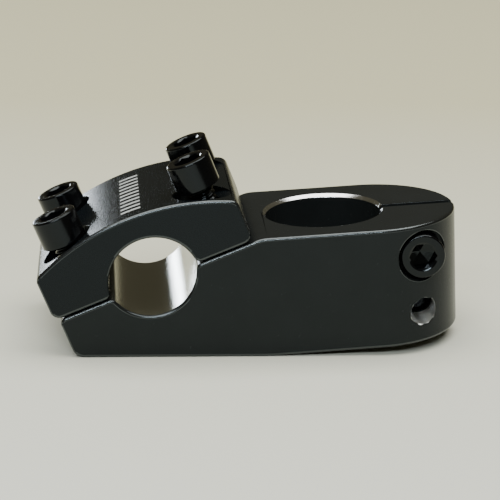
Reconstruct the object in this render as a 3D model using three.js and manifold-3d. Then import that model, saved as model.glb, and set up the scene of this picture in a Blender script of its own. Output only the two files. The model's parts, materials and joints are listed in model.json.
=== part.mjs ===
// A bicycle handlebar stem: a block clamped to the steerer at its rear end by a split and two
// cross bolts, and to the handlebar at its front end by a top cap with four bolts.
//
// Millimetres, +Z up. X runs from the handlebar clamp to the steerer clamp and Y along the bar.
// The stem stands on its flat foot at Z = 0, with the origin under the middle of its length.
// The bolts are slack and no bar is fitted, so the cap lies on the block.

import * as THREE from 'three';
import { mergeVertices } from 'three/addons/utils/BufferGeometryUtils.js';
import Module from 'manifold-3d';

const DEGREE = Math.PI / 180;

// Overall sizes
const STEM_WIDTH = 43;
const REACH = 44.4; // bar axis to steerer axis, at the bar's height
const BAR_DIAMETER = 22.2;
const STEERER_DIAMETER = 28.6;
const STEERER_CLAMP_HEIGHT = 30; // along the steerer
const BLOCK_TILT = 4.2 * DEGREE; // the rear block rises behind the foot
const SPLIT_TILT = 23 * DEGREE; // the cap's joint face rises towards the steerer

// Screws: M8 with small socket heads
const THREAD_DIAMETER = 6.5; // at its core, as the thread is a plain cylinder
const THREAD_LENGTH = 22;
const HEAD_DIAMETER = 10.9;
const HEAD_HEIGHT = 7.2;
const KEY_SIZE = 6; // across flats
const KEY_DEPTH = 4;
const HEAD_ROUND = 0.6;
const TIP_CHAMFER = 0.9;

// How far each head stands off its seat
const HEAD_GAP = { frontLeft: 4.4, frontRight: 3.1, rearLeft: 4.6, rearRight: 2.5, pinch: 1.1 };

// Clearances
const CONTACT_GAP = 0.3; // between faces that touch
const SCREW_CLEARANCE = 0.3; // round a screw's thread, in every hole
const CAP_HEAD_ROOM = 1.25; // round a screw's head in the cap
const PINCH_HEAD_ROOM = 0.8; // round a screw's head in the block
const TIP_CLEARANCE = 1.3; // past the tip of the deepest cap screw
const OVERRUN = 2; // how far a cutter runs past the face that it cuts

// Walls of metal
const WALL_UNDER_BAR = 10.6;
const WALL_OVER_BAR = 6.3;
const FRONT_SCREW_WALL = 2.05; // bar hole to the front screw holes
const REAR_SCREW_WALL = 3.45; // bar hole to the rear screw holes
const CAP_SIDE_WALL = 1.4; // counterbores to the cap's sides
const CAP_FRONT_WALL = 2.55; // counterbores to the cap's front face
const CAP_REAR_WALL = 0.85;
const PINCH_WALL = 3.95; // steerer hole to the cross holes
const END_WALL = 7.65; // cross holes to the rear tip

// Block
const FOOT_END = 29.4; // from under the bar axis to where the underside starts to rise
const CAP_OVERHANG = 1.15; // the cap's front face ahead of the block's
const BLOCK_JOINT_DROP = 2.8; // bar axis down to the block's joint face, square to it
const SLOT_WIDTH = 2;
const TOP_BEND_RADIUS = 9;
const FOOT_BEND_RADIUS = 60;
const TOE_RADIUS = 3;
const BLOCK_CORNER_RADIUS = 1.6;
const LIP = 0.8; // chamfer at the steerer hole's mouths
const PINCH_SPACING = 14.2;
const PINCH_SEAT_DEPTH = 10; // side face down to the cross screws' seats

// Cap
const CROWN_RADIUS = 59;
const CREST_OFFSET = -0.8; // crown's highest line from the bar axis, along the joint face
const CAP_CORNER_RADIUS = 2.3;
const CAP_SEAT_DEPTH = 6; // crest down to the screws' seats
const CLAMP_GAP = 3; // how far the cap drops when there is no bar between it and the block

const EDGE_RADIUS = 0.7; // round on the side edges of the block and the cap
const BORE_CORNER_RADIUS = 1.6; // where the bar hole meets the joint faces

// Sizes that follow
const barRadius = BAR_DIAMETER / 2;
const steererRadius = STEERER_DIAMETER / 2;
const threadHole = THREAD_DIAMETER + 2 * SCREW_CLEARANCE;
const barHeight = barRadius + WALL_UNDER_BAR;
const capCounterbore = HEAD_DIAMETER + 2 * CAP_HEAD_ROOM;
const pinchCounterbore = HEAD_DIAMETER + 2 * PINCH_HEAD_ROOM;
const frontScrews = -(barRadius + FRONT_SCREW_WALL + threadHole / 2);
const rearScrews = barRadius + REAR_SCREW_WALL + threadHole / 2;
const screwRow = STEM_WIDTH / 2 - CAP_SIDE_WALL - capCounterbore / 2;
const capFront = frontScrews - capCounterbore / 2 - CAP_FRONT_WALL;
const capRear = rearScrews + capCounterbore / 2 + CAP_REAR_WALL;
const capCrest = barRadius - CLAMP_GAP + WALL_OVER_BAR;
const capSeat = capCrest - CAP_SEAT_DEPTH;
const blockFront = capFront + CAP_OVERHANG;
const blockJoint = -BLOCK_JOINT_DROP;
const capJoint = blockJoint + CONTACT_GAP;
const pinchBehindSteerer = steererRadius + PINCH_WALL + threadHole / 2;
const pinchSeat = STEM_WIDTH / 2 - PINCH_SEAT_DEPTH; // from the centre plane
const endBehindSteerer = pinchBehindSteerer + threadHole / 2 + END_WALL;

// Fineness of curved faces
const CHORD_ERROR = 0.03;
const WIDEST_STEP = 22.5 * DEGREE;

const wasm = await Module();
wasm.setup();

const black = { color: 0x2b2d30, roughness: 0.32, metalness: 0.55 };
const finishes = {
  block: () => new THREE.MeshStandardMaterial({ ...black, name: 'black_block' }),
  cap: () => new THREE.MeshStandardMaterial({ ...black, roughness: 0.36, name: 'black_cap' }),
  screw: () => new THREE.MeshStandardMaterial({
    color: 0x141416, roughness: 0.25, metalness: 0.8, name: 'black_screw',
  }),
};

// ---------------------------------------------------------------------------------------------
// Outlines

/** Number of flat steps for an arc of this radius and sweep. */
function arcSteps(radius, sweep) {
  const step = Math.min(WIDEST_STEP, 2 * Math.acos(1 - CHORD_ERROR / Math.max(radius, 2 * CHORD_ERROR)));
  return Math.max(1, Math.ceil(Math.abs(sweep) / step));
}

/** Points on an arc, both ends included. A sweep below zero runs clockwise. */
function arc(centre, radius, from, sweep) {
  const count = arcSteps(radius, sweep);
  return Array.from({ length: count + 1 }, (_, i) => {
    const angle = from + (sweep * i) / count;
    return new THREE.Vector2(
      centre.x + radius * Math.cos(angle),
      centre.y + radius * Math.sin(angle),
    );
  });
}

/** An arc from one angle to another, by the shorter way round. */
function shortArc(centre, radius, from, to) {
  const turn = THREE.MathUtils.euclideanModulo(to - from + Math.PI, 2 * Math.PI) - Math.PI;
  return arc(centre, radius, from, turn);
}

/** The round that replaces a corner between two straight edges. */
function roundCorner(before, corner, after, radius) {
  const back = before.clone().sub(corner).normalize();
  const ahead = after.clone().sub(corner).normalize();
  const halfAngle = Math.acos(THREE.MathUtils.clamp(back.dot(ahead), -1, 1)) / 2;
  const inwards = back.clone().add(ahead).normalize();
  const centre = inwards.multiplyScalar(radius / Math.sin(halfAngle)).add(corner);
  const tangent = radius / Math.tan(halfAngle);
  const start = back.multiplyScalar(tangent).add(corner).sub(centre);
  const end = ahead.multiplyScalar(tangent).add(corner).sub(centre);
  return shortArc(centre, radius, start.angle(), end.angle());
}

/** Where two lines meet, each given by a point and a direction. */
function meeting(pointA, directionA, pointB, directionB) {
  const apart = pointB.clone().sub(pointA);
  const distance = apart.cross(directionB) / directionA.cross(directionB);
  return directionA.clone().multiplyScalar(distance).add(pointA);
}

/**
 * The stretch of outline that the bar hole makes in a joint face at height `face`, with its two
 * rounded corners. `side` is -1 for a piece below the face and 1 for one above it.
 */
function barHoleEdge(face, holeCentre, side) {
  const radius = barRadius;
  const cornerHeight = face + side * BORE_CORNER_RADIUS - holeCentre;
  const cornerOut = Math.sqrt((radius + BORE_CORNER_RADIUS) ** 2 - cornerHeight ** 2);
  const lean = Math.atan2(cornerHeight, cornerOut);
  const centre = new THREE.Vector2(0, holeCentre);
  const corner = new THREE.Vector2(cornerOut, holeCentre + cornerHeight);
  const rear = shortArc(corner, BORE_CORNER_RADIUS, (-side * Math.PI) / 2, lean + Math.PI);
  const front = rear.map((p) => new THREE.Vector2(-p.x, p.y)).reverse();
  const hole = arc(centre, radius, lean, side * (Math.PI - 2 * side * lean));
  return [...rear, ...hole.slice(1, -1), ...front];
}

// ---------------------------------------------------------------------------------------------
// Solids

function solidOf(geometry, placement = new THREE.Matrix4()) {
  const bare = geometry.clone().applyMatrix4(placement);
  bare.deleteAttribute('normal');
  bare.deleteAttribute('uv');
  const merged = mergeVertices(bare, 1e-5);
  return new wasm.Manifold(new wasm.Mesh({
    numProp: 3,
    vertProperties: merged.attributes.position.array,
    triVerts: Uint32Array.from(merged.index.array),
  }));
}

function geometryOf(solid) {
  const mesh = solid.getMesh();
  const geometry = new THREE.BufferGeometry();
  geometry.setAttribute('position', new THREE.BufferAttribute(mesh.vertProperties, 3));
  geometry.setIndex(new THREE.BufferAttribute(mesh.triVerts, 1));
  geometry.computeVertexNormals();
  return geometry;
}

/** A side outline given as X and Z, extruded over the stem's width with rounded side edges. */
function widthOf(outline) {
  const geometry = new THREE.ExtrudeGeometry(new THREE.Shape(outline), {
    depth: STEM_WIDTH - 2 * EDGE_RADIUS,
    bevelThickness: EDGE_RADIUS,
    bevelSize: EDGE_RADIUS,
    bevelOffset: -EDGE_RADIUS,
    bevelSegments: 2,
  });
  return geometry.rotateX(Math.PI / 2).translate(0, STEM_WIDTH / 2 - EDGE_RADIUS, 0);
}

/** A round cutter standing on Z from `low` to `high`. */
function drill(diameter, low, high) {
  const steps = arcSteps(diameter / 2, 2 * Math.PI);
  const geometry = new THREE.CylinderGeometry(diameter / 2, diameter / 2, high - low, steps);
  return geometry.rotateX(Math.PI / 2).translate(0, 0, (low + high) / 2);
}

// ---------------------------------------------------------------------------------------------
// Frames. The clamp frame has its origin on the bar axis, X along the joint face and Z square to
// it. The block frame has its origin on the steerer axis at the block's underside, and Z along
// the steerer. Both are measured from the bar axis.

const alongJoint = new THREE.Vector2(Math.cos(SPLIT_TILT), Math.sin(SPLIT_TILT));
const acrossJoint = new THREE.Vector2(-alongJoint.y, alongJoint.x);
const alongBlock = new THREE.Vector2(Math.cos(BLOCK_TILT), Math.sin(BLOCK_TILT));
const upBlock = new THREE.Vector2(-alongBlock.y, alongBlock.x);

const footEnd = new THREE.Vector2(FOOT_END, -barHeight);
const steererFoot = meeting(new THREE.Vector2(REACH, 0), upBlock, footEnd, alongBlock);

const clampFrame = new THREE.Matrix4().makeRotationY(-SPLIT_TILT);
const blockFrame = new THREE.Matrix4().makeRotationY(-BLOCK_TILT)
  .setPosition(steererFoot.x, 0, steererFoot.y);

const inClamp = (along, up) =>
  alongJoint.clone().multiplyScalar(along).addScaledVector(acrossJoint, up);
const inBlock = (along, up) =>
  steererFoot.clone().addScaledVector(alongBlock, along).addScaledVector(upBlock, up);

const capScrewSites = [
  { name: 'cap_bolt_front_left', along: frontScrews, side: -1, gap: HEAD_GAP.frontLeft },
  { name: 'cap_bolt_front_right', along: frontScrews, side: 1, gap: HEAD_GAP.frontRight },
  { name: 'cap_bolt_rear_left', along: rearScrews, side: -1, gap: HEAD_GAP.rearLeft },
  { name: 'cap_bolt_rear_right', along: rearScrews, side: 1, gap: HEAD_GAP.rearRight },
];

const pinchScrewSites = [
  { name: 'pinch_bolt_upper', level: 1, side: -1 },
  { name: 'pinch_bolt_lower', level: -1, side: 1 },
];

/** Puts a cross screw's own frame, with Z out of its head, at its seat in the block. */
function pinchFrame({ level, side }) {
  const height = (STEERER_CLAMP_HEIGHT + level * PINCH_SPACING) / 2;
  return blockFrame.clone()
    .multiply(new THREE.Matrix4().makeTranslation(pinchBehindSteerer, side * pinchSeat, height))
    .multiply(new THREE.Matrix4().makeRotationX((-side * Math.PI) / 2));
}

// ---------------------------------------------------------------------------------------------
// Stem body

/** Side view of the block, from its toe along the foot, round the rear and back over the top. */
function blockOutline() {
  const frontFace = inClamp(blockFront, 0);
  const toe = meeting(frontFace, acrossJoint, footEnd, new THREE.Vector2(1, 0));
  const brow = inClamp(blockFront, blockJoint);
  const pastEnd = endBehindSteerer + OVERRUN;
  const heel = inBlock(pastEnd, 0);
  const rearTop = inBlock(pastEnd, STEERER_CLAMP_HEIGHT);
  const bend = meeting(brow, alongJoint, rearTop, alongBlock);
  return [
    ...roundCorner(brow, toe, footEnd, TOE_RADIUS),
    ...roundCorner(toe, footEnd, heel, FOOT_BEND_RADIUS),
    heel,
    rearTop,
    ...roundCorner(rearTop, bend, brow, TOP_BEND_RADIUS),
    ...barHoleEdge(blockJoint, 0, -1).map((p) => inClamp(p.x, p.y)),
    ...roundCorner(bend, brow, toe, BLOCK_CORNER_RADIUS),
  ];
}

/** Everything inside the round rear end, seen along the steerer, with its edges rounded. */
function rearEndTrim() {
  const radius = STEM_WIDTH / 2;
  const centre = new THREE.Vector2(endBehindSteerer - radius, 0);
  const front = 2 * capFront - REACH;
  const outline = [
    new THREE.Vector2(front, -STEM_WIDTH),
    new THREE.Vector2(centre.x, -STEM_WIDTH),
    ...arc(centre, radius, -Math.PI / 2, Math.PI),
    new THREE.Vector2(centre.x, STEM_WIDTH),
    new THREE.Vector2(front, STEM_WIDTH),
  ];
  const geometry = new THREE.ExtrudeGeometry(new THREE.Shape(outline), {
    depth: STEERER_CLAMP_HEIGHT - 2 * EDGE_RADIUS,
    bevelThickness: EDGE_RADIUS,
    bevelSize: EDGE_RADIUS,
    bevelOffset: -EDGE_RADIUS,
    bevelSegments: 2,
  });
  return solidOf(geometry.translate(0, 0, EDGE_RADIUS), blockFrame);
}

/** The steerer hole, with a chamfer at each mouth. */
function steererHole() {
  const mouth = steererRadius + LIP + OVERRUN;
  const profile = [
    new THREE.Vector2(0, -OVERRUN),
    new THREE.Vector2(mouth, -OVERRUN),
    new THREE.Vector2(steererRadius, LIP),
    new THREE.Vector2(steererRadius, STEERER_CLAMP_HEIGHT - LIP),
    new THREE.Vector2(mouth, STEERER_CLAMP_HEIGHT + OVERRUN),
    new THREE.Vector2(0, STEERER_CLAMP_HEIGHT + OVERRUN),
  ];
  const lathe = new THREE.LatheGeometry(profile, arcSteps(steererRadius, 2 * Math.PI));
  return solidOf(lathe.rotateX(Math.PI / 2), blockFrame);
}

function rearSlot() {
  const length = endBehindSteerer + OVERRUN;
  const height = STEERER_CLAMP_HEIGHT + 2 * OVERRUN;
  const box = new THREE.BoxGeometry(length, SLOT_WIDTH, height);
  return solidOf(box.translate(length / 2, 0, STEERER_CLAMP_HEIGHT / 2), blockFrame);
}

function stemBody() {
  let block = solidOf(widthOf(blockOutline()))
    .intersect(rearEndTrim())
    .subtract(steererHole())
    .subtract(rearSlot());
  const deepestTip = capSeat + Math.min(...capScrewSites.map(({ gap }) => gap)) - THREAD_LENGTH;
  for (const { along, side } of capScrewSites) {
    const thread = drill(threadHole, deepestTip - TIP_CLEARANCE, blockJoint + OVERRUN);
    thread.translate(along, side * screwRow, 0);
    block = block.subtract(solidOf(thread, clampFrame));
  }
  for (const site of pinchScrewSites) {
    const frame = pinchFrame(site);
    block = block
      .subtract(solidOf(drill(threadHole, -STEM_WIDTH, STEM_WIDTH), frame))
      .subtract(solidOf(drill(pinchCounterbore, 0, STEM_WIDTH), frame));
  }
  const mesh = new THREE.Mesh(geometryOf(block), finishes.block());
  mesh.name = 'stem_body';
  return mesh;
}

// ---------------------------------------------------------------------------------------------
// Top cap, in the clamp frame

/** The round between one end face of the cap and its crown. */
function crownCorner(endFace, crownCentre) {
  const side = Math.sign(endFace);
  const out = endFace - side * CAP_CORNER_RADIUS - crownCentre.x;
  const up = Math.sqrt((CROWN_RADIUS - CAP_CORNER_RADIUS) ** 2 - out ** 2);
  const centre = new THREE.Vector2(out, up).add(crownCentre);
  return { centre, crownAngle: Math.atan2(up, out), faceAngle: side > 0 ? 0 : Math.PI };
}

function capOutline() {
  const crownCentre = new THREE.Vector2(CREST_OFFSET, capCrest - CROWN_RADIUS);
  const front = crownCorner(capFront, crownCentre);
  const rear = crownCorner(capRear, crownCentre);
  const frontFoot = new THREE.Vector2(capFront, capJoint);
  const rearFoot = new THREE.Vector2(capRear, capJoint);
  return [
    ...roundCorner(front.centre.clone().setX(capFront), frontFoot, rearFoot, CAP_CORNER_RADIUS),
    ...barHoleEdge(capJoint, -CLAMP_GAP, 1).reverse(),
    ...roundCorner(frontFoot, rearFoot, rear.centre.clone().setX(capRear), CAP_CORNER_RADIUS),
    ...shortArc(rear.centre, CAP_CORNER_RADIUS, rear.faceAngle, rear.crownAngle),
    ...shortArc(crownCentre, CROWN_RADIUS, rear.crownAngle, front.crownAngle).slice(1, -1),
    ...shortArc(front.centre, CAP_CORNER_RADIUS, front.crownAngle, front.faceAngle),
  ];
}

function topCap() {
  let cap = solidOf(widthOf(capOutline()));
  for (const { along, side } of capScrewSites) {
    const hole = drill(threadHole, capJoint - OVERRUN, capCrest + OVERRUN);
    const counterbore = drill(capCounterbore, capSeat, capCrest + OVERRUN);
    cap = cap
      .subtract(solidOf(hole.translate(along, side * screwRow, 0)))
      .subtract(solidOf(counterbore.translate(along, side * screwRow, 0)));
  }
  const mesh = new THREE.Mesh(geometryOf(cap), finishes.cap());
  mesh.name = 'top_cap';
  return mesh;
}

// ---------------------------------------------------------------------------------------------
// Screws. Each stands on Z, with the underside of its head at Z = 0.

const screwGeometry = (() => {
  const headRadius = HEAD_DIAMETER / 2;
  const threadRadius = THREAD_DIAMETER / 2;
  const rim = new THREE.Vector2(headRadius - HEAD_ROUND, HEAD_HEIGHT - HEAD_ROUND);
  const profile = [
    new THREE.Vector2(0, -THREAD_LENGTH),
    new THREE.Vector2(threadRadius - TIP_CHAMFER, -THREAD_LENGTH),
    new THREE.Vector2(threadRadius, TIP_CHAMFER - THREAD_LENGTH),
    new THREE.Vector2(threadRadius, 0),
    new THREE.Vector2(headRadius, 0),
    ...arc(rim, HEAD_ROUND, 0, Math.PI / 2),
    new THREE.Vector2(0, HEAD_HEIGHT),
  ];
  const lathe = new THREE.LatheGeometry(profile, arcSteps(headRadius, 2 * Math.PI));
  const keyRadius = KEY_SIZE / 2 / Math.cos(Math.PI / 6);
  const key = new THREE.CylinderGeometry(keyRadius, keyRadius, KEY_DEPTH + OVERRUN, 6);
  key.rotateX(Math.PI / 2).translate(0, 0, HEAD_HEIGHT + (OVERRUN - KEY_DEPTH) / 2);
  return geometryOf(solidOf(lathe.rotateX(Math.PI / 2)).subtract(solidOf(key)));
})();

function screw(name) {
  const mesh = new THREE.Mesh(screwGeometry.clone(), finishes.screw());
  mesh.name = name;
  return mesh;
}

function capScrew({ name, along, side, gap }) {
  const mesh = screw(name);
  mesh.position.set(along, side * screwRow, capSeat + gap);
  return mesh;
}

function pinchScrew(site) {
  const mesh = screw(site.name);
  const placement = pinchFrame(site).multiply(
    new THREE.Matrix4().makeTranslation(0, 0, HEAD_GAP.pinch),
  );
  placement.decompose(mesh.position, mesh.quaternion, mesh.scale);
  return mesh;
}

// ---------------------------------------------------------------------------------------------
// Assembly, built round the bar axis and then set down on its foot

const clamp = new THREE.Group();
clamp.rotation.y = -SPLIT_TILT;
clamp.add(topCap(), ...capScrewSites.map(capScrew));

const stem = new THREE.Group();
stem.add(stemBody(), clamp, ...pinchScrewSites.map(pinchScrew));
stem.updateMatrixWorld(true);
const middle = new THREE.Box3().setFromObject(stem, true).getCenter(new THREE.Vector3());
stem.position.set(-middle.x, 0, barHeight);

export default stem;
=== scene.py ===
import json
from math import acos, atan2, ceil, cos, inf, pi, radians, sin, sqrt, tan

import bmesh
import bpy
from mathutils import Matrix, Vector


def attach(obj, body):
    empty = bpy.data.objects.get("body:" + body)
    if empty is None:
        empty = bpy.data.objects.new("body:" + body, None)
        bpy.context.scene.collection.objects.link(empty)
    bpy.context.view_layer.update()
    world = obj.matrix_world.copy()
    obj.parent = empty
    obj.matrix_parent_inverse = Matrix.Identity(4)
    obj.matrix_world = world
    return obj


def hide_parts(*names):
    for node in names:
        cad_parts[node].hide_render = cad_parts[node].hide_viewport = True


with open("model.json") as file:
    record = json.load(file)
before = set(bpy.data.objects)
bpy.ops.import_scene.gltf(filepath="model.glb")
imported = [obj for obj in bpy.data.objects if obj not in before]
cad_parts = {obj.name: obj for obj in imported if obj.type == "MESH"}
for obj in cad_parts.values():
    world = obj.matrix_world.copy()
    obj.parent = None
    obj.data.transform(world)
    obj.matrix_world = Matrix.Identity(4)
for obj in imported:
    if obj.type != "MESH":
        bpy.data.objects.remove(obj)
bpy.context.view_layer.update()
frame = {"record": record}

# The stem is made on a bench in millimetres, with the bar's axis along Y through the origin, X towards
# the steerer and Z up. Each piece is then set down in the row frame, in metres.

# Sizes of the whole stem
WIDTH = 43.0
REACH = 44.4
BAR_RADIUS = 11.1
STEERER_RADIUS = 14.3
CLAMP_HEIGHT = 30.0
BLOCK_TILT = radians(4.2)
JOINT_TILT = radians(23)
BAR_HEIGHT = 21.7

# Block
BLOCK_FRONT, BLOCK_JOINT = -24.8, -2.8
FOOT_END = 29.4
TOE_ROUND, FOOT_BEND, TOP_BEND, BROW_ROUND = 3.0, 60.0, 9.0, 1.6
BEHIND_STEERER, REAR_END = 21.8, 33.0
SLOT = 2.0
MOUTH = 0.8
EDGE_ROUND, BORE_CORNER = 0.75, 1.6

# Cap
CAP_FRONT, CAP_REAR, CAP_JOINT = -25.95, 25.65, -2.5
CAP_HOLE_DROP = 3.0
CREST, CROWN_ROUND, CROWN_OFFSET = 14.4, 59.0, -0.8
CAP_CORNER = 2.3
CAP_SEAT, CAP_BORE = 8.4, 6.7
SCREW_ROW, FRONT_ROW, REAR_ROW = 13.4, -16.7, 18.1
TAP_BOTTOM = -12.4

# Screws and their holes
PLAIN_HOLE = 3.55
TAP_LOW, TAP_HIGH = 3.28, 3.56
THREAD_LOW, THREAD_HIGH = 2.7, 3.2
PITCH = 1.25
SCREW_LENGTH, HEAD_RADIUS, HEAD_HEIGHT, HEAD_ROUND = 22.0, 5.45, 7.2, 0.5
KEY, KEY_DEPTH, KEY_LEAD = 3.0, 4.0, 3.6
PINCH_SEAT, PINCH_BORE, PINCH_SPACING, PINCH_GAP = 11.5, 6.25, 14.2, 1.1

TIP_RADIUS, TIP_SLOPE = 2.2, 0.9
THREAD_FLAT = 0.12  # share of half a pitch that is flat, at the root and at the crest

# Each cap screw: its place along and across the cap, how proud its head stands, and how far it is turned
CAP_SCREWS = (("front_left", FRONT_ROW, -1, 4.4, 20), ("front_right", FRONT_ROW, 1, 3.1, 47),
              ("rear_left", REAR_ROW, -1, 4.6, 8), ("rear_right", REAR_ROW, 1, 2.5, 31))
# Each cross screw: whether it is above or below the middle, the side of its head, and how far it is turned
PINCH_SCREWS = (("upper", 1, -1, 0), ("lower", -1, 1, 17))

# Etched strokes on the crown
STROKE_FRONT, STROKE_REAR, STROKE_ROW, STROKE_STEP = -1.5, 3.5, 33.0, 3.0
STROKE_SHARE = 0.42  # of each step is stroke

# Making
SIDES = 48  # flats round a screw or a tapped hole
BORE_SIDES, CAP_HOLE_SIDES = 144, 72
ROWS_PER_TURN = 8
OVERRUN = 3.0  # how far a cutter goes past what it cuts
WELD = 0.004
EASE_FROM, SHARP_FROM = radians(24), radians(32)
TOLERANCE = 0.04  # for telling which surface a corner lies on

# Camera
CAMERA_STAND = Vector((-13.45, -413.55, 126.31))
CAMERA_HEADING, CAMERA_DROP, CAMERA_ROLL = radians(5.41), radians(17.06), radians(1.55)
CAMERA_LENS, CAMERA_SENSOR = 124.455, 36


# ---------------------------------------------------------------------------------------------
# Outlines, as lists of 2-D points

def bend(centre, radius, start, sweep, step=radians(4)):
    """Points along an arc, with both of its ends."""
    count = max(2, ceil(abs(sweep) / step))
    angles = [start + sweep * i / count for i in range(count + 1)]
    return [Vector(centre) + radius * Vector((cos(a), sin(a))) for a in angles]


def short_bend(centre, radius, start, end, step=radians(4)):
    """The arc between two angles by the shorter way."""
    return bend(centre, radius, start, (end - start + pi) % (2 * pi) - pi, step)


def round_off(before, corner, after, radius, step=radians(9)):
    """The arc that takes a corner off between two straight edges."""
    back, ahead = (before - corner).normalized(), (after - corner).normalized()
    half = acos(max(-1, min(1, back.dot(ahead)))) / 2
    centre = corner + (back + ahead).normalized() * radius / sin(half)
    reach = radius / tan(half)
    start, end = corner + back * reach - centre, corner + ahead * reach - centre
    return short_bend(centre, radius, atan2(start.y, start.x), atan2(end.y, end.x), step)


def crossing(point_a, way_a, point_b, way_b):
    """Where two lines cross."""
    apart = point_b - point_a
    slant = way_a.x * way_b.y - way_a.y * way_b.x
    return point_a + way_a * (apart.x * way_b.y - apart.y * way_b.x) / slant


def bar_hole_edge(face, hole_height, side):
    """The bar hole where it opens into a joint face, with its two rounded corners."""
    up = face + side * BORE_CORNER - hole_height
    out = sqrt((BAR_RADIUS + BORE_CORNER) ** 2 - up ** 2)
    lean = atan2(up, out)
    rear = short_bend((out, hole_height + up), BORE_CORNER, -side * pi / 2, lean + pi, radians(12))
    front = [Vector((-p.x, p.y)) for p in reversed(rear)]
    hole = bend((0, hole_height), BAR_RADIUS, lean, side * (pi - 2 * side * lean), radians(2.5))
    return rear + hole[1:-1] + front


# ---------------------------------------------------------------------------------------------
# Bench frames

clamp_frame = Matrix.Rotation(-JOINT_TILT, 4, "Y")
along_joint = Vector((cos(JOINT_TILT), sin(JOINT_TILT)))
across_joint = Vector((-sin(JOINT_TILT), cos(JOINT_TILT)))
along_block = Vector((cos(BLOCK_TILT), sin(BLOCK_TILT)))
up_block = Vector((-sin(BLOCK_TILT), cos(BLOCK_TILT)))
foot_end = Vector((FOOT_END, -BAR_HEIGHT))
steerer_foot = crossing(Vector((REACH, 0)), up_block, foot_end, along_block)
block_frame = Matrix.Translation((steerer_foot.x, 0, steerer_foot.y)) @ Matrix.Rotation(-BLOCK_TILT, 4, "Y")


def in_clamp(along, up):
    return along * along_joint + up * across_joint


def in_block(along, up):
    return steerer_foot + along * along_block + up * up_block


def pinch_frame(level, side):
    """A cross screw's own frame: its seat is at Z = 0 and its head is above that."""
    height = (CLAMP_HEIGHT + level * PINCH_SPACING) / 2
    seat = Matrix.Translation((BEHIND_STEERER, side * PINCH_SEAT, height))
    return block_frame @ seat @ Matrix.Rotation(-side * pi / 2, 4, "X")


def screw_place(along, side, up=0.0):
    """Where a cap screw's axis stands, in the cap's own frame."""
    return Matrix.Translation((along, side * SCREW_ROW, up))


tap_frames = [clamp_frame @ screw_place(along, side) for _, along, side, _, _ in CAP_SCREWS]
pinch_frames = [pinch_frame(level, side) for _, level, side, _ in PINCH_SCREWS]

# The first mount lies on the underside of the steerer clamp, level with the steerer's axis.
base = frame["record"]["mounts"][0]["pos_m"]
row_origin = (base[0] - steerer_foot.x / 1000, 0, base[2] - steerer_foot.y / 1000)
to_row = Matrix.Translation(row_origin) @ Matrix.Scale(0.001, 4)


# ---------------------------------------------------------------------------------------------
# Solids

def solid(name, points, faces):
    mesh = bpy.data.meshes.new(name)
    shape = bmesh.new()
    corners = [shape.verts.new(p) for p in points]
    for face in faces:
        shape.faces.new([corners[i] for i in face])
    bmesh.ops.recalc_face_normals(shape, faces=shape.faces)
    shape.to_mesh(mesh)
    shape.free()
    piece = bpy.data.objects.new(name, mesh)
    bpy.context.scene.collection.objects.link(piece)
    return piece


def plank(name, outline, low, high, place=Matrix()):
    """An outline in X and Z, as thick as from low to high along Y."""
    count = len(outline)
    points = [place @ Vector((p[0], y, p[1])) for y in (low, high) for p in outline]
    walls = [(i, (i + 1) % count, count + (i + 1) % count, count + i) for i in range(count)]
    return solid(name, points, [range(count), range(count, 2 * count)] + walls)


def turned(name, rows, place=Matrix(), sides=SIDES):
    """A round solid on Z. Each row is a radius and a height, or a function of the angle that gives them."""
    points = []
    faces = [range(sides), range((len(rows) - 1) * sides, len(rows) * sides)]
    for level, row in enumerate(rows):
        for step in range(sides):
            angle = 2 * pi * step / sides
            radius, height = row(angle) if callable(row) else row
            points.append(place @ Vector((radius * cos(angle), radius * sin(angle), height)))
            if level:
                here, ahead = level * sides + step, level * sides + (step + 1) % sides
                faces.append((here - sides, ahead - sides, ahead, here))
    return solid(name, points, faces)


def thread_rows(bottom, top, low, high, limit=lambda height: inf):
    """Rows of a right-hand screw thread between two heights, no wider than the limit at each height."""
    def row(height):
        def place(angle):
            phase = (height / PITCH - angle / (2 * pi)) % 1
            crest = min(1, max(0, (abs(2 * phase - 1) - THREAD_FLAT) / (1 - 2 * THREAD_FLAT)))
            return min(low + (high - low) * crest, limit(height)), height
        return place
    count = round((top - bottom) / PITCH * ROWS_PER_TURN)
    return [row(bottom + (top - bottom) * i / count) for i in range(count + 1)]


def finished(piece):
    """Settles a piece's modifiers into its mesh."""
    bpy.context.view_layer.update()
    whole = piece.evaluated_get(bpy.context.evaluated_depsgraph_get())
    mesh = bpy.data.meshes.new_from_object(whole)
    piece.modifiers.clear()
    piece.data = mesh


def cut_with(tool, piece, operation="DIFFERENCE"):
    """Cuts a piece with a tool, which is used up."""
    cut = piece.modifiers.new("cut", "BOOLEAN")
    cut.object, cut.operation, cut.solver = tool, operation, "MANIFOLD"
    finished(piece)
    bpy.data.objects.remove(tool)


def middle(edge):
    return (edge.verts[0].co + edge.verts[1].co) / 2


def ease_edges(piece, width, segments, share=lambda point: 1):
    """Rounds the outside edges, each by its share of the width."""
    shape = bmesh.new()
    shape.from_mesh(piece.data)
    bmesh.ops.remove_doubles(shape, verts=shape.verts, dist=WELD)
    layers = shape.edges.layers.float
    weight = layers.get("bevel_weight_edge") or layers.new("bevel_weight_edge")
    for edge in shape.edges:
        outside = len(edge.link_faces) == 2 and edge.is_convex and edge.calc_face_angle(0) > EASE_FROM
        edge[weight] = share(middle(edge)) if outside else 0
    shape.to_mesh(piece.data)
    shape.free()
    ease = piece.modifiers.new("ease", "BEVEL")
    ease.limit_method, ease.width, ease.segments = "WEIGHT", width, segments
    ease.use_clamp_overlap, ease.miter_outer = False, "MITER_SHARP"
    finished(piece)
    layer = piece.data.attributes.get("bevel_weight_edge")
    if layer:
        piece.data.attributes.remove(layer)


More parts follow.
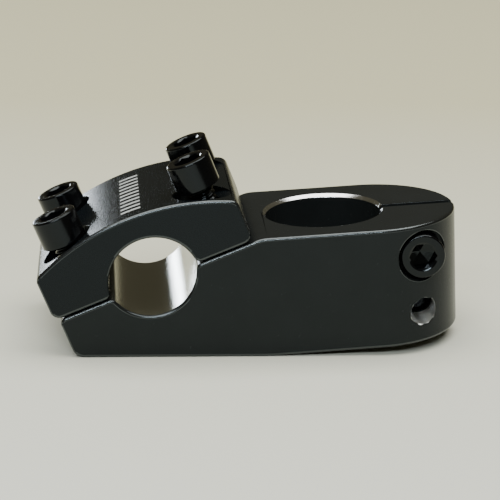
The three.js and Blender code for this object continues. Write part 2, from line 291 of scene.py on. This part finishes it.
def smooth_over(piece, keep_soft=lambda point: False):
    """Shades the piece smooth, with its true corners left sharp."""
    shape = bmesh.new()
    shape.from_mesh(piece.data)
    for face in shape.faces:
        face.smooth = True
    for edge in shape.edges:
        corner = len(edge.link_faces) == 2 and edge.calc_face_angle(0) > SHARP_FROM
        edge.smooth = not corner or keep_soft(middle(edge))
    shape.to_mesh(piece.data)
    shape.free()


def on_bore(corners, centre):
    """True for a face of the bar hole round a centre."""
    outs = [sqrt((c.x - centre.x) ** 2 + (c.z - centre.z) ** 2) for c in corners]
    return all(abs(out - BAR_RADIUS) < TOLERANCE for out in outs)


def on_edge(normal):
    """True on the rounded edges between a side and what meets it, which handling has burnished."""
    return abs(normal.y) > 0.1 and abs(Vector((normal.x, normal.z)).dot(up_block)) > 0.12


def set_down(piece, body, node, finishes, zone):
    """Moves a piece from the bench to the row frame, and gives each face its finish by its corners."""
    piece.data.materials.clear()
    for finish in finishes:
        piece.data.materials.append(finish.material)
    for face in piece.data.polygons:
        face.material_index = zone([piece.data.vertices[i].co for i in face.vertices], face.normal)
    piece.data.transform(to_row)
    level = piece.modifiers.new("even", "WEIGHTED_NORMAL")
    level.keep_sharp, level.weight = True, 50
    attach(piece, body)
    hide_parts(node)


# ---------------------------------------------------------------------------------------------
# Finishes

class Level:
    """A value that changes over a surface. Arithmetic on it adds Math nodes to its finish."""

    def __init__(self, finish, socket):
        self.finish, self.socket = finish, socket

    def maths(self, operation, first, second):
        return self.finish.node("ShaderNodeMath", {"operation": operation}, {0: first, 1: second})

    def __add__(self, other):
        return self.maths("ADD", self, other)

    def __mul__(self, other):
        return self.maths("MULTIPLY", self, other)

    def __mod__(self, other):
        return self.maths("FLOORED_MODULO", self, other)

    def __gt__(self, other):
        return self.maths("GREATER_THAN", self, other)

    def __lt__(self, other):
        return self.maths("LESS_THAN", self, other)

    __radd__, __rmul__ = __add__, __mul__


class Finish:
    """A material, whose nodes are added one at a time."""

    def __init__(self, name, **constants):
        self.material = bpy.data.materials.new(name)
        self.material.use_nodes = True
        self.tree = self.material.node_tree
        self.shader = self.tree.nodes["Principled BSDF"]
        for socket, value in constants.items():
            self.shader.inputs[socket.replace("_", " ")].default_value = value

    def node(self, kind, settings, sockets, out=0):
        made = self.tree.nodes.new(kind)
        for name, value in settings.items():
            setattr(made, name, value)
        for key, value in sockets.items():
            if isinstance(value, Level):
                self.tree.links.new(value.socket, made.inputs[key])
            else:
                made.inputs[key].default_value = value
        return Level(self, made.outputs[out])

    def feed(self, **levels):
        for socket, level in levels.items():
            self.tree.links.new(level.socket, self.shader.inputs[socket.replace("_", " ")])

    def place(self, stretch=(1, 1, 1), turn=0.0, shift=(0, 0, 0)):
        """Position on the object in millimetres, turned about Y, then stretched."""
        spot = self.node("ShaderNodeTexCoord", {}, {}, "Object")
        return self.node("ShaderNodeMapping", {"vector_type": "POINT"}, {
            "Vector": spot, "Location": shift, "Rotation": (0, turn, 0),
            "Scale": tuple(1000 * s for s in stretch)})

    def grain(self, stretch, detail=3.0, roughness=0.6):
        return self.node("ShaderNodeTexNoise", {}, {
            "Vector": self.place(stretch), "Scale": 1.0, "Detail": detail, "Roughness": roughness})

    def bump(self, height, distance):
        return self.node("ShaderNodeBump", {}, {"Height": height, "Distance": distance, "Strength": 1.0})

    def mix(self, share, first, second):
        return self.node("ShaderNodeMix", {"data_type": "RGBA"}, {0: share, 6: first, 7: second}, 2)


def tone(shade, share):
    """A shade made darker or lighter, as a colour."""
    return (*(share * c for c in shade), 1)


def black_coat(name, shade, gloss, shine, skin=(3.2, 3.2, 3.2), depth=0.000012, marks=None):
    """Satin black on milled aluminium: faint mottling, a fine skin, rubbed spots and any etched marks."""
    coat = Finish(name, IOR=1.45, Specular_IOR_Level=shine, Specular_Tint=(0.86, 0.97, 1.0, 1))
    broad = coat.grain((0.09, 0.09, 0.09))
    fine = coat.grain(skin, 1.0)
    rubbed = coat.grain((0.6, 0.6, 0.6), 5.0, 0.7)
    colour = coat.mix(broad * 0.6 + fine * 0.2, tone(shade, 0.75), tone(shade, 1.35))
    rough = gloss + broad * 0.05 + fine * 0.05 + (rubbed > 0.66) * 0.03
    if marks:
        etched = marks(coat)
        colour = coat.mix(etched, colour, (0.36, 0.37, 0.36, 1))
        rough = rough + etched * 0.25
    coat.feed(Base_Color=colour, Roughness=rough, Normal=coat.bump(fine, depth))
    return coat


def crown_strokes(coat):
    """A row of plain etched strokes across the middle of the cap's crown."""
    shift = clamp_frame.inverted() @ to_row.translation * -1000
    spot = coat.place((1, 1, 1), JOINT_TILT, shift)
    along, across = (coat.node("ShaderNodeSeparateXYZ", {}, {0: spot}, axis) for axis in "XY")
    lengthwise = (along > STROKE_FRONT) * (along < STROKE_REAR)
    row = lengthwise * (across > -STROKE_ROW / 2) * (across < STROKE_ROW / 2)
    return row * ((across + STROKE_ROW / 2) % STROKE_STEP < STROKE_STEP * STROKE_SHARE)


def bare_metal(name, stretch, shade):
    """Aluminium as the boring tool left it: close rings and a fine tooth."""
    metal = Finish(name, Metallic=1.0)
    rings = metal.grain(stretch, 2.0, 0.5)
    tooth = metal.grain((5, 5, 5), 2.0, 0.6)
    metal.feed(
        Base_Color=metal.mix(rings * 0.7 + tooth * 0.3, tone(shade, 0.82), tone(shade, 1.1)),
        Roughness=0.1 + rings * 0.06 + tooth * 0.05,
        Normal=metal.bump(rings * 0.5 + tooth * 0.5, 0.00002))
    return metal


block_black = black_coat("block_black", (0.0105, 0.0120, 0.0120), 0.2, 0.18)
cap_black = black_coat("cap_black", (0.0030, 0.0042, 0.0052), 0.22, 0.24,
                       skin=(2.2, 0.12, 2.2), depth=0.000004, marks=crown_strokes)
edge_black = black_coat("edge_black", (0.0060, 0.0064, 0.0066), 0.16, 1.0)
screw_black = black_coat("screw_black", (0.002, 0.002, 0.0024), 0.07, 0.3, depth=0.000004)
bore_bare = bare_metal("bore_bare", (0.25, 7.0, 0.25), (0.47, 0.47, 0.44))
thread_bare = bare_metal("thread_bare", (2.0, 2.0, 2.0), (0.75, 0.76, 0.78))


# ---------------------------------------------------------------------------------------------
# Block

def block_side():
    """Side view of the block: toe, foot, rear, top and the half hole for the bar."""
    front, brow = in_clamp(BLOCK_FRONT, 0), in_clamp(BLOCK_FRONT, BLOCK_JOINT)
    toe = crossing(front, across_joint, foot_end, Vector((1, 0)))
    heel, rear_top = in_block(REAR_END + OVERRUN, 0), in_block(REAR_END + OVERRUN, CLAMP_HEIGHT)
    knee = crossing(brow, along_joint, rear_top, along_block)
    return (round_off(brow, toe, foot_end, TOE_ROUND)
            + round_off(toe, foot_end, heel, FOOT_BEND, radians(0.7))
            + [heel, rear_top]
            + round_off(rear_top, knee, brow, TOP_BEND, radians(2))
            + [in_clamp(*p) for p in bar_hole_edge(BLOCK_JOINT, 0, -1)]
            + round_off(knee, brow, toe, BROW_ROUND))


def block_plan():
    """The block seen along the steerer: straight sides and a round rear end."""
    half = WIDTH / 2
    tail = bend((REAR_END - half, 0), half, -pi / 2, pi, radians(2.5))
    return [Vector((-90, -half))] + tail + [Vector((-90, half))]


def steerer_cutter():
    """A hole with both mouths chamfered at 45 degrees."""
    flare = STEERER_RADIUS + MOUTH + 2
    low, high = MOUTH, CLAMP_HEIGHT - MOUTH
    rows = [(flare, -2), (STEERER_RADIUS, low), (STEERER_RADIUS, high), (flare, CLAMP_HEIGHT + 2)]
    return turned("steerer_cutter", rows, block_frame, BORE_SIDES)


def slot_cutter():
    rear, top = REAR_END + OVERRUN, CLAMP_HEIGHT + OVERRUN
    outline = [Vector(p) for p in ((0, -OVERRUN), (rear, -OVERRUN), (rear, top), (0, top))]
    return plank("slot", outline, -SLOT / 2, SLOT / 2, block_frame)


def tap_cutter(axis):
    return turned("tap", thread_rows(TAP_BOTTOM, BLOCK_JOINT + 1, TAP_LOW, TAP_HIGH), axis)


def pinch_cutter(axis):
    """Counterbore and plain hole down to the slot, and a tapped hole beyond it."""
    rows = thread_rows(-PINCH_SEAT - WIDTH / 2 - 1, -PINCH_SEAT - 0.5, TAP_LOW, TAP_HIGH)
    rows += [(PLAIN_HOLE, -PINCH_SEAT - 0.4), (PLAIN_HOLE, 0), (PINCH_BORE, 0), (PINCH_BORE, WIDTH / 2)]
    return turned("pinch_cutter", rows, axis)


def from_axis(point, frame_matrix):
    """How far a point is from a frame's Z axis, and its height along it."""
    local = frame_matrix.inverted() @ point
    return sqrt(local.x ** 2 + local.y ** 2), local.z


def in_thread(point):
    """True inside the tapped holes."""
    reach = TAP_HIGH + 0.06
    if any(from_axis(point, axis)[0] < reach for axis in tap_frames):
        return True
    places = [from_axis(point, axis) for axis in pinch_frames]
    return any(out < reach and height < -PINCH_SEAT for out, height in places)


def block_ease(point):
    """How much each edge of the finished block's holes and slot is rounded."""
    if in_thread(point):
        return 0
    if any(abs(from_axis(point, axis)[0] - PINCH_BORE) < 0.1 for axis in pinch_frames):
        return 0.8
    out, height = from_axis(point, block_frame)
    if abs(point.y) < SLOT / 2 + 0.05 and out > STEERER_RADIUS - 0.1:
        return 1
    if out < STEERER_RADIUS + MOUTH + 0.1 and -0.1 < height < CLAMP_HEIGHT + 0.1:
        return 0.35
    return 0


def on_lip(point):
    """True on the two chamfered mouths of the steerer hole."""
    out, height = from_axis(point, block_frame)
    between = MOUTH + 0.1 < height < CLAMP_HEIGHT - MOUTH - 0.1
    return STEERER_RADIUS - 0.1 < out < STEERER_RADIUS + MOUTH + 0.1 and not between


def make_block():
    block = plank("stem_block", block_side(), -WIDTH, WIDTH)
    plan = plank("plan", block_plan(), -30, 60, block_frame @ Matrix.Rotation(pi / 2, 4, "X"))
    cut_with(plan, block, "INTERSECT")
    ease_edges(block, EDGE_ROUND, 4)
    cut_with(steerer_cutter(), block)
    cut_with(slot_cutter(), block)
    for axis in tap_frames:
        cut_with(tap_cutter(axis), block)
    for axis in pinch_frames:
        cut_with(pinch_cutter(axis), block)
    ease_edges(block, 0.35, 2, block_ease)
    smooth_over(block, in_thread)

    def zone(corners, normal):
        if on_bore(corners, Vector()):
            return 1
        if all(map(in_thread, corners)) or all(map(on_lip, corners)):
            return 2
        return 3 if on_edge(normal) else 0

    finishes = [block_black, bore_bare, thread_bare, edge_black]
    set_down(block, "stem", "stem_body", finishes, zone)


# ---------------------------------------------------------------------------------------------
# Cap

def cap_side():
    """Side view of the cap, in the clamp frame."""
    crown = Vector((CROWN_OFFSET, CREST - CROWN_ROUND))

    def crown_corner(face, side):
        out = face - side * CAP_CORNER - crown.x
        up = sqrt((CROWN_ROUND - CAP_CORNER) ** 2 - out ** 2)
        return crown + Vector((out, up)), atan2(up, out)

    (front, front_lean), (rear, rear_lean) = crown_corner(CAP_FRONT, -1), crown_corner(CAP_REAR, 1)
    front_foot, rear_foot = Vector((CAP_FRONT, CAP_JOINT)), Vector((CAP_REAR, CAP_JOINT))
    return (round_off(Vector((CAP_FRONT, front.y)), front_foot, rear_foot, CAP_CORNER)
            + list(reversed(bar_hole_edge(CAP_JOINT, -CAP_HOLE_DROP, 1)))
            + round_off(front_foot, rear_foot, Vector((CAP_REAR, rear.y)), CAP_CORNER)
            + short_bend(rear, CAP_CORNER, 0, rear_lean, radians(9))
            + short_bend(crown, CROWN_ROUND, rear_lean, front_lean, radians(0.8))[1:-1]
            + short_bend(front, CAP_CORNER, front_lean, pi, radians(9)))


def make_cap():
    cap = plank("bar_cap", cap_side(), -WIDTH / 2, WIDTH / 2)
    ease_edges(cap, EDGE_ROUND, 4)
    rows = [(PLAIN_HOLE, CAP_JOINT - 2), (PLAIN_HOLE, CAP_SEAT)]
    rows += [(CAP_BORE, CAP_SEAT), (CAP_BORE, CREST + OVERRUN)]
    for _, along, side, _, _ in CAP_SCREWS:
        cut_with(turned("cap_cutter", rows, screw_place(along, side), CAP_HOLE_SIDES), cap)
    ease_edges(cap, 0.16, 2)
    smooth_over(cap)
    cap.data.transform(clamp_frame)
    hole = clamp_frame @ Vector((0, 0, -CAP_HOLE_DROP))

    def zone(corners, normal):
        if on_bore(corners, hole):
            return 1
        return 2 if on_edge(normal) else 0

    set_down(cap, "cap", "top_cap", [cap_black, bore_bare, edge_black], zone)


# ---------------------------------------------------------------------------------------------
# Screws

def make_screw(name, place, turn, body, node):
    """A socket head screw, with the underside of its head at Z = 0 in its own frame."""
    def key(angle):
        return KEY / cos((angle + radians(turn)) % (pi / 3) - pi / 6)

    def tip(height):
        return TIP_RADIUS + (height + SCREW_LENGTH) * TIP_SLOPE

    rim = bend((HEAD_RADIUS - HEAD_ROUND, HEAD_HEIGHT - HEAD_ROUND), HEAD_ROUND, 0, pi / 2, radians(15))
    floor = HEAD_HEIGHT - KEY_DEPTH
    neck = THREAD_LOW + 0.1
    rows = thread_rows(-SCREW_LENGTH, -1, THREAD_LOW, THREAD_HIGH, tip)
    rows += [(neck, -0.8), (neck, -0.3), (THREAD_HIGH, 0), (HEAD_RADIUS - 0.2, 0), (HEAD_RADIUS, 0.2)]
    rows += [tuple(p) for p in rim]
    rows += [(KEY_LEAD + 0.12, HEAD_HEIGHT), (KEY_LEAD, HEAD_HEIGHT - 0.05)]
    rows += [lambda a: (key(a), HEAD_HEIGHT - 0.05 - (KEY_LEAD - key(a)) * 0.7),
             lambda a: (key(a), floor), lambda a: (key(a) * 0.5, floor - 0.5), (0.1, floor - 0.95)]
    screw = turned(name, rows)
    smooth_over(screw, lambda point: -SCREW_LENGTH + 0.1 < point.z < -0.1)
    screw.data.transform(place)
    set_down(screw, body, node, [screw_black], lambda corners, normal: 0)


def make_screws():
    for name, along, side, gap, turn in CAP_SCREWS:
        place = clamp_frame @ screw_place(along, side, CAP_SEAT + gap)
        make_screw("cap_screw_" + name, place, turn, name + "_bolt", "cap_bolt_" + name)
    for name, level, side, turn in PINCH_SCREWS:
        place = pinch_frame(level, side) @ Matrix.Translation((0, 0, PINCH_GAP))
        make_screw("pinch_screw_" + name, place, turn, name + "_pinch_bolt", "pinch_bolt_" + name)


# ---------------------------------------------------------------------------------------------
# Table, light and camera

def make_table():
    table = solid("table", [(-3, -3, 0), (3, -3, 0), (3, 3, 0), (-3, 3, 0)], [(0, 1, 2, 3)])
    top = Finish("table_top", Roughness=0.6, Specular_IOR_Level=0.2)
    depth = top.node("ShaderNodeSeparateXYZ", {}, {0: top.place()}, "Y")
    tint = top.grain((0.004, 0.004, 0.004), 1.0)
    near, far = (0.66, 0.675, 0.62, 1), (0.52, 0.495, 0.33, 1)
    top.feed(Base_Color=top.mix(depth * 0.0022 + 0.35 + tint * 0.1, near, far))
    table.data.materials.append(top.material)


def lamp(name, where, towards, width, height, power, colour):
    data = bpy.data.lights.new(name, "AREA")
    data.shape, data.size, data.size_y = "RECTANGLE", width, height
    data.energy, data.color = power, colour
    light = bpy.data.objects.new(name, data)
    light.location = where
    light.rotation_euler = (Vector(towards) - Vector(where)).to_track_quat("-Z", "Y").to_euler()
    bpy.context.scene.collection.objects.link(light)


def light_room():
    world = bpy.data.worlds.new("room")
    bpy.context.scene.world = world
    world.use_nodes = True
    sky = world.node_tree.nodes["Background"]
    sky.inputs["Color"].default_value = (0.085, 0.078, 0.05, 1)
    sky.inputs["Strength"].default_value = 1.0
    lamp("ceiling", (0, 0, 2.2), (0, 0, 0), 3.0, 2.0, 110, (1.0, 0.99, 0.95))
    lamp("strip", (-0.35, -1.35, 1.1), (0, 0, 0), 1.2, 0.1, 20, (0.85, 0.93, 1.0))
    lamp("window", (-0.80, 2.247, 0.205), (0, 0, 0.02), 0.50, 0.32, 9, (0.85, 0.93, 1.0))


def set_camera():
    camera = bpy.data.objects.new("camera", bpy.data.cameras.new("camera"))
    aim = Matrix.Rotation(-CAMERA_HEADING, 4, "Z") @ Matrix.Rotation(pi / 2 - CAMERA_DROP, 4, "X")
    aim = aim @ Matrix.Rotation(CAMERA_ROLL, 4, "Z")
    camera.matrix_world = Matrix.Translation(to_row @ CAMERA_STAND) @ aim
    camera.data.sensor_width, camera.data.lens, camera.data.clip_start = CAMERA_SENSOR, CAMERA_LENS, 0.01
    bpy.context.scene.collection.objects.link(camera)
    bpy.context.scene.camera = camera


make_block()
make_cap()
make_screws()
make_table()
light_room()
set_camera()
